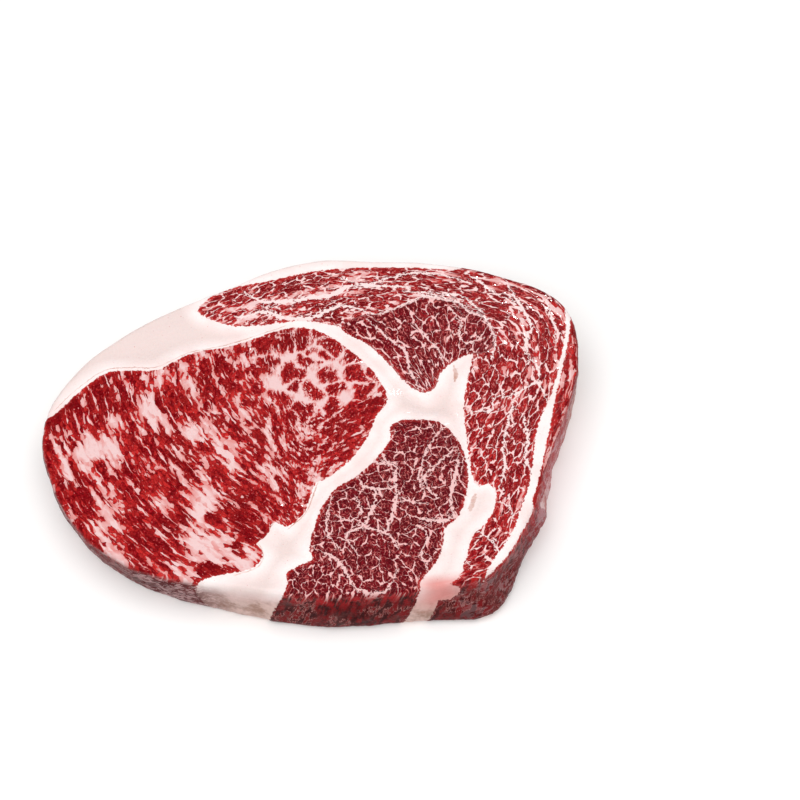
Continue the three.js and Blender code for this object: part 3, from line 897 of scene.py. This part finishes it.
def beef_material(colours):
    """Raw beef with fat in the muscle, cut across the fibres: wet, so it mirrors the lamps in small
    glints, and slightly translucent, so the fat looks soft and the thin lean glows red."""
    material = bpy.data.materials.new("marbled raw beef, fresh cut")
    material.use_nodes = True
    tree = material.node_tree
    tree.nodes.clear()
    add = functools.partial(node, tree)
    marks = {}
    for name in ("grain", "marbling", "vein", "membrane", "skin"):
        marks[name] = add("ShaderNodeAttribute", attribute_name=name).outputs["Vector"]
    for name in ("lean_edge", "darkness", "side"):
        marks[name] = add("ShaderNodeAttribute", attribute_name=name).outputs["Fac"]
    position = add("ShaderNodeTexCoord").outputs["Object"]
    place = add("ShaderNodeVectorMath", {0: position, "Scale": 1 / MM}, operation="SCALE").outputs[0]
    up = add("ShaderNodeSeparateXYZ", {0: place}).outputs[2]
    high = add("ShaderNodeMapRange", {"Value": up, 1: 7.0, 2: 15.0})
    # The skin's paleness is painted light: the skin is paler where the light falls on the side.
    skinned, pale, flushed = add("ShaderNodeSeparateXYZ", {0: marks["skin"]}).outputs
    flushed = add("ShaderNodeMath", {0: flushed, 1: high}, operation="MULTIPLY")
    marks.update(place=place, up=up, skinned=skinned, pale=pale, flushed=flushed)
    for name, size, detail, roughness in PATTERNS:
        marks[name] = add("ShaderNodeTexNoise", {"Vector": place, "Scale": 1 / size, "Detail": detail,
                                                 "Roughness": roughness})
    meat = marbled(tree, marks, place)

    # Lean takes on the side's look from the rim down, and fat stays white for a while below the rim.
    turned = add("ShaderNodeMapRange", {"Value": up, 1: 21.0, 2: 14.0})
    turned = add("ShaderNodeMath", {0: turned, 1: meat["inside"]}, operation="MAXIMUM")
    turned = add("ShaderNodeMath", {0: turned, 1: marks["side"]}, operation="MULTIPLY")
    colour = fat_colour(tree, colours, marks, meat)
    coats = [
        (meat["lean"], lean_colour(tree, colours, marks, meat)),
        (turned, side_colour(tree, colours, marks, meat)),
    ]
    for share, coat in coats:
        colour = add("ShaderNodeMix", {"Factor": share, 6: colour, 7: coat}, data_type="RGBA").outputs[2]

    # Small bumps and wet spots, with fainter spots and a duller surface on the side.
    height = add("ShaderNodeMath", {0: meat["lean"], 1: 0.3}, operation="MULTIPLY")
    height = add("ShaderNodeMath", {0: marks["grit"], 1: 0.9, 2: height}, operation="MULTIPLY_ADD")
    bump = add("ShaderNodeBump", {"Strength": 0.7, "Distance": 0.4 * MM, "Height": height})
    wet = add("ShaderNodeMapRange", {"Value": marks["grit"], 1: 0.56, 2: 0.61})
    kept_wet = add("ShaderNodeMapRange", {"Value": marks["side"], 3: 1.0, 4: 0.3})
    wet = add("ShaderNodeMath", {0: wet, 1: kept_wet}, operation="MULTIPLY")
    rough = add("ShaderNodeMath", {0: marks["speck"], 1: 0.12, 2: 0.18}, operation="MULTIPLY_ADD")
    rough = add("ShaderNodeMath", {0: marks["side"], 1: 0.15, 2: rough}, operation="MULTIPLY_ADD")
    shader = add("ShaderNodeBsdfPrincipled", {
        "Base Color": colour, "Roughness": rough, "Normal": bump, "IOR": 1.38, "Specular IOR Level": 0.05,
        "Subsurface Weight": 0.03, "Subsurface Radius": (1.0, 0.35, 0.25), "Subsurface Scale": 0.5 * MM,
        "Coat Weight": wet, "Coat Roughness": 0.1, "Coat IOR": 1.33,
    })
    shader.subsurface_method = "RANDOM_WALK"
    add("ShaderNodeOutputMaterial", {"Surface": shader})
    return material


def relief_tree(material):
    """Geometry nodes that raise the lean over the fat and wrinkle the side of the slice."""
    tree = bpy.data.node_groups.new("Cut Face Relief", "GeometryNodeTree")
    add = functools.partial(node, tree)
    tree.interface.new_socket("Geometry", in_out="OUTPUT", socket_type="NodeSocketGeometry")
    tree.interface.new_socket("Geometry", in_out="INPUT", socket_type="NodeSocketGeometry")
    for name in ("Lean Rise", "Side Wrinkle"):
        socket = tree.interface.new_socket(name, in_out="INPUT", socket_type="NodeSocketFloat")
        socket.subtype = "DISTANCE"
    given = add("NodeGroupInput")
    kinds = {"grain": "FLOAT_VECTOR", "marbling": "FLOAT_VECTOR", "vein": "FLOAT_VECTOR",
             "lean_edge": "FLOAT", "side": "FLOAT", "resting": "FLOAT"}
    marks = {
        name: add("GeometryNodeInputNamedAttribute", {"Name": name}, data_type=kind).outputs[0]
        for name, kind in kinds.items()
    }
    position = add("GeometryNodeInputPosition")
    place = add("ShaderNodeVectorMath", {0: position, "Scale": 1 / MM}, operation="SCALE").outputs[0]
    meat = marbled(tree, marks, place)

    full = add("ShaderNodeMapRange", {"Value": meat["fullness"], 1: LEAN_FROM - 0.04, 2: LEAN_FROM + 0.1})
    rise = add("ShaderNodeMath", {0: full, 1: meat["inside"]}, operation="MULTIPLY")
    rise = add("ShaderNodeMath", {0: rise, 1: given.outputs["Lean Rise"]}, operation="MULTIPLY")

    # Wrinkles stop just over the floor, and the resting face stays flat.
    stretched = add("ShaderNodeVectorMath", {0: place, 1: WRINKLES}, operation="MULTIPLY")
    folds = add("ShaderNodeTexNoise", {"Vector": stretched, "Scale": 1.0, "Detail": 3.0, "Roughness": 0.6})
    folds = add("ShaderNodeMath", {0: folds, 1: 0.5}, operation="SUBTRACT")
    height = add("ShaderNodeSeparateXYZ", {0: place}).outputs[2]
    over_floor = add("ShaderNodeMapRange", {"Value": height, 1: 0.2, 2: 4.0})
    wrinkle = add("ShaderNodeMath", {0: folds, 1: given.outputs["Side Wrinkle"]}, operation="MULTIPLY")
    wrinkle = add("ShaderNodeMath", {0: wrinkle, 1: marks["side"]}, operation="MULTIPLY")
    wrinkle = add("ShaderNodeMath", {0: wrinkle, 1: over_floor}, operation="MULTIPLY")
    upright = add("ShaderNodeMath", {0: 1.0, 1: marks["resting"]}, operation="SUBTRACT")
    rise = add("ShaderNodeMath", {0: rise, 1: upright, 2: wrinkle}, operation="MULTIPLY_ADD")
    push = add("ShaderNodeVectorMath", {0: add("GeometryNodeInputNormal"), "Scale": rise}, operation="SCALE")
    moved = add("GeometryNodeSetPosition", {"Geometry": given.outputs["Geometry"], "Offset": push})
    real = add("GeometryNodeRealizeInstances", {0: moved})
    dressed = add("GeometryNodeSetMaterial", {"Geometry": real, "Material": material})
    add("NodeGroupOutput", {0: dressed})
    return tree


def colour_property(hex_value, name, description):
    """A colour setting that starts from an sRGB hex value."""
    return bpy.props.FloatVectorProperty(
        name=name, description=description, subtype="COLOR", size=4, min=0, max=1,
        default=linear_colour(hex_value),
    )


class MeatColours(bpy.types.PropertyGroup):
    """Colours of the meat."""

    lean: colour_property(0xB41420, "Lean", "Thick lean of the large muscle")
    thin_lean: colour_property(0xDC3430, "Thin lean", "Lean that runs out thin over fat")
    dark_lean: colour_property(0x941424, "Dark lean", "Lean of the darker muscles")
    deep_lean: colour_property(0x6C0208, "Deep lean", "Shadowed bundles of fibres")
    deepest_lean: colour_property(0x52050F, "Deepest lean", "Shadowed bundles of the darker muscles")
    fleck: colour_property(0xC85452, "Fleck", "Flecks of fat just under the lean")
    fine_fat: colour_property(0xE4A6A2, "Fine fat", "Finest flecks of fat")
    hair_fat: colour_property(0xDC7A76, "Hairs of fat", "Finest threads of fat, blushed by the lean")
    inner_fat: colour_property(0xECC8C7, "Marbling", "Fat inside the muscles")
    inner_fat_blush: colour_property(0xDE8E8A, "Blushed marbling", "Fat inside the muscles, next to lean")
    vein_fat: colour_property(0xF8DEDC, "Vein fat", "Fat of the wide veins")
    net_fat: colour_property(0xFAD2D0, "Net fat", "Fat of the net of thin veins")
    seam_fat: colour_property(0xFDF0EE, "Seam fat", "Fat between the muscles")
    seam_fat_blush: colour_property(0xF8E2DF, "Blushed seam fat", "Pinker fat between the muscles")
    outer_fat: colour_property(0xEAD6D2, "Outer fat", "Duller fat far from the lean")
    flushed_fat: colour_property(0xE08C86, "Flushed fat", "Fat flushed with red at the rim")
    membrane: colour_property(0xBC7C64, "Membrane", "Thin tan membranes")
    side_lean: colour_property(0x781014, "Side lean", "Drier lean on the side")
    side_lean_dark: colour_property(0x3A0608, "Dark side lean", "Darkest lean on the side")
    side_dry: colour_property(0x5A2E2C, "Dried lean", "Brown patches where the side's lean has dried")
    side_fresh: colour_property(0xB42024, "Fresh side lean", "Redder lean along the top of the side")
    side_vein: colour_property(0xC8928C, "Side vein", "Threads of fat in the side's lean")
    side_fat: colour_property(0xDABCB4, "Side fat", "Fat on the side")
    side_stain: colour_property(0xA88476, "Side stain", "Brown stains on the side's fat")
    skin: colour_property(0xB08888, "Skin", "Dried skin on the side")
    skin_dark: colour_property(0x54080E, "Dark skin", "Lean that shows between the folds of the skin")
    # The lit skin colours are painted light: the skin and its folds painted paler where the light falls on
    # the side.
    lit_skin: colour_property(0xDCAAB0, "Pale skin", "Thinner, paler skin on the side")
    lit_skin_folds: colour_property(0xB8484C, "Pale skin's folds", "Lean that shows through the pale skin")
    skin_haze: colour_property(0xB8A4A4, "Skin haze", "Greyest patches of the dried skin")


class SliceSettings(bpy.types.PropertyGroup):
    """Sizes of the slice's mesh and relief."""

    steps: bpy.props.IntProperty(
        name="Steps", description="Cells of the cut face's mesh from edge to edge",
        default=248, min=40, max=260,
    )
    lean_rise: bpy.props.FloatProperty(
        name="Lean rise", description="How far lean stands over fat", default=0.16 * MM, unit="LENGTH",
    )
    side_wrinkle: bpy.props.FloatProperty(
        name="Side wrinkle", description="Depth of the wrinkles on the side", default=1.6 * MM, unit="LENGTH",
    )
    colours: bpy.props.PointerProperty(type=MeatColours)


class StageSettings(bpy.types.PropertyGroup):
    """The floor, the lamps and the camera."""

    floor_size: bpy.props.FloatProperty(
        name="Floor", description="Side of the square floor", default=4.0, unit="LENGTH",
    )
    floor_colour: colour_property(0xFCFBFA, "Floor colour", "Colour of the pale floor")
    elevation: bpy.props.FloatProperty(
        name="Elevation", description="Angle of the camera above level",
        default=math.radians(55), subtype="ANGLE",
    )
    distance: bpy.props.FloatProperty(
        name="Distance", description="From the camera to the point it looks at", default=0.72, unit="LENGTH",
    )
    aim: bpy.props.FloatVectorProperty(
        name="Aim", description="Point the camera looks at",
        default=(0.029, 0.0075, 0.022), subtype="TRANSLATION",
    )
    lens: bpy.props.FloatProperty(name="Lens", description="Focal length", default=95.6)


def new_mesh(name, vertices, faces):
    """A mesh from its vertices and its faces."""
    mesh = bpy.data.meshes.new(name)
    mesh.from_pydata(vertices, [], faces)
    mesh.update()
    return mesh


def add_marks(mesh, marks):
    """Stores painted values on the vertices: one number each, or three."""
    for name, values in marks.items():
        wide = values.ndim == 2
        layer = mesh.attributes.new(name, "FLOAT_VECTOR" if wide else "FLOAT", "POINT")
        layer.data.foreach_set("vector" if wide else "value", np.asarray(values, np.float32).ravel())


def with_modifier_applied(piece):
    """Replaces the piece's mesh by what its modifiers make of it, and removes them."""
    graph = bpy.context.evaluated_depsgraph_get()
    made = bpy.data.meshes.new_from_object(piece.evaluated_get(graph))
    piece.modifiers.clear()
    old = piece.data
    piece.data = made
    bpy.data.meshes.remove(old)


class STEAK_OT_cut_slice(bpy.types.Operator):
    """Cut the slice of beef and give it its marbling"""

    bl_idname = "steak.cut_slice"
    bl_label = "Cut Slice"

    def execute(self, context):
        settings = context.scene.steak_slice
        places, faces, map_places, angle, height = slice_form(settings.steps)
        marks = meat_marks(places, angle)
        side = np.clip((THICKNESS - SIDE_FROM - height) / SIDE_FADE, 0, 1)
        marks["side"] = side * (height > RESTING_BELOW)
        marks["resting"] = (height < RESTING_BELOW).astype(float)
        low, high = places.min(0), places.max(0)
        places[:, :2] -= (low[:2] + high[:2]) / 2
        mesh = new_mesh("marbled steak", (places * MM).tolist(), faces)
        add_marks(mesh, marks)
        mesh.uv_layers.new(name=BAKE_MAP).data.foreach_set("uv", map_places.ravel())
        mesh.shade_smooth()
        piece = bpy.data.objects.new("marbled_steak", mesh)
        context.scene.collection.objects.link(piece)
        tree = relief_tree(beef_material(settings.colours))
        relief = piece.modifiers.new("Relief", "NODES")
        relief.node_group = tree
        sizes = {"Lean Rise": settings.lean_rise, "Side Wrinkle": settings.side_wrinkle}
        for item in tree.interface.items_tree:
            if item.name in sizes:
                relief[item.identifier] = sizes[item.name]
        with_modifier_applied(piece)
        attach(piece, "root")
        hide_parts("steak")
        return {"FINISHED"}


def area_lamp(name, place, target, size, power):
    """A square soft box that faces a point."""
    light = bpy.data.lights.new(name, "AREA")
    light.size = size
    light.energy = power
    lamp = bpy.data.objects.new(name, light)
    lamp.location = place
    lamp.rotation_euler = (Vector(target) - Vector(place)).to_track_quat("-Z", "Y").to_euler()
    bpy.context.scene.collection.objects.link(lamp)
    return lamp


class STEAK_OT_set_stage(bpy.types.Operator):
    """Lay the floor, hang the lamps and place the camera"""

    bl_idname = "steak.set_stage"
    bl_label = "Set Stage"

    def execute(self, context):
        settings = context.scene.steak_stage
        half = settings.floor_size / 2
        corners = [(-half, -half, 0), (half, -half, 0), (half, half, 0), (-half, half, 0)]
        floor = bpy.data.objects.new("floor", new_mesh("floor", corners, [(0, 1, 2, 3)]))
        material = bpy.data.materials.new("matt white card")
        material.use_nodes = True
        shader = material.node_tree.nodes["Principled BSDF"]
        shader.inputs["Base Color"].default_value = settings.floor_colour
        shader.inputs["Roughness"].default_value = 0.9
        shader.inputs["Specular IOR Level"].default_value = 0.1
        floor.data.materials.append(material)
        context.scene.collection.objects.link(floor)

        world = bpy.data.worlds.new("studio")
        world.use_nodes = True
        world.node_tree.nodes["Background"].inputs["Color"].default_value = (1, 1, 1, 1)
        world.node_tree.nodes["Background"].inputs["Strength"].default_value = 0.15
        context.scene.world = world
        middle = (0, 0, 0.02)
        area_lamp("overhead box", place=(-0.1, -0.45, 1.4), target=middle, size=2.0, power=30.0)
        glint = area_lamp("glint lamp", place=(0.25, 0.95, 1.05), target=middle, size=0.05, power=4.0)
        glint.data.use_shadow = False

        camera_data = bpy.data.cameras.new("camera")
        camera_data.lens = settings.lens
        camera_data.sensor_width = 36
        camera = bpy.data.objects.new("camera", camera_data)
        aim = Vector(settings.aim)
        back = Vector((0, -math.cos(settings.elevation), math.sin(settings.elevation)))
        camera.location = aim + back * settings.distance
        camera.rotation_euler = (math.pi / 2 - settings.elevation, 0, 0)
        context.scene.collection.objects.link(camera)
        context.scene.camera = camera
        context.scene.view_settings.view_transform = "Standard"
        return {"FINISHED"}


class STEAK_PT_panel(bpy.types.Panel):
    """Lists what can be made"""

    bl_idname = "STEAK_PT_panel"
    bl_label = "Steak"
    bl_space_type = "VIEW_3D"
    bl_region_type = "UI"
    bl_category = "Steak"

    def draw(self, context):
        self.layout.operator("steak.cut_slice")
        self.layout.operator("steak.set_stage")


CLASSES = (MeatColours, SliceSettings, StageSettings, STEAK_OT_cut_slice, STEAK_OT_set_stage, STEAK_PT_panel)


def register():
    for cls in CLASSES:
        bpy.utils.register_class(cls)
    bpy.types.Scene.steak_slice = bpy.props.PointerProperty(type=SliceSettings)
    bpy.types.Scene.steak_stage = bpy.props.PointerProperty(type=StageSettings)


def unregister():
    del bpy.types.Scene.steak_stage
    del bpy.types.Scene.steak_slice
    for cls in reversed(CLASSES):
        bpy.utils.unregister_class(cls)


def main():
    register()
    bpy.ops.steak.cut_slice()
    bpy.ops.steak.set_stage()


if __name__ == "__main__":
    main()
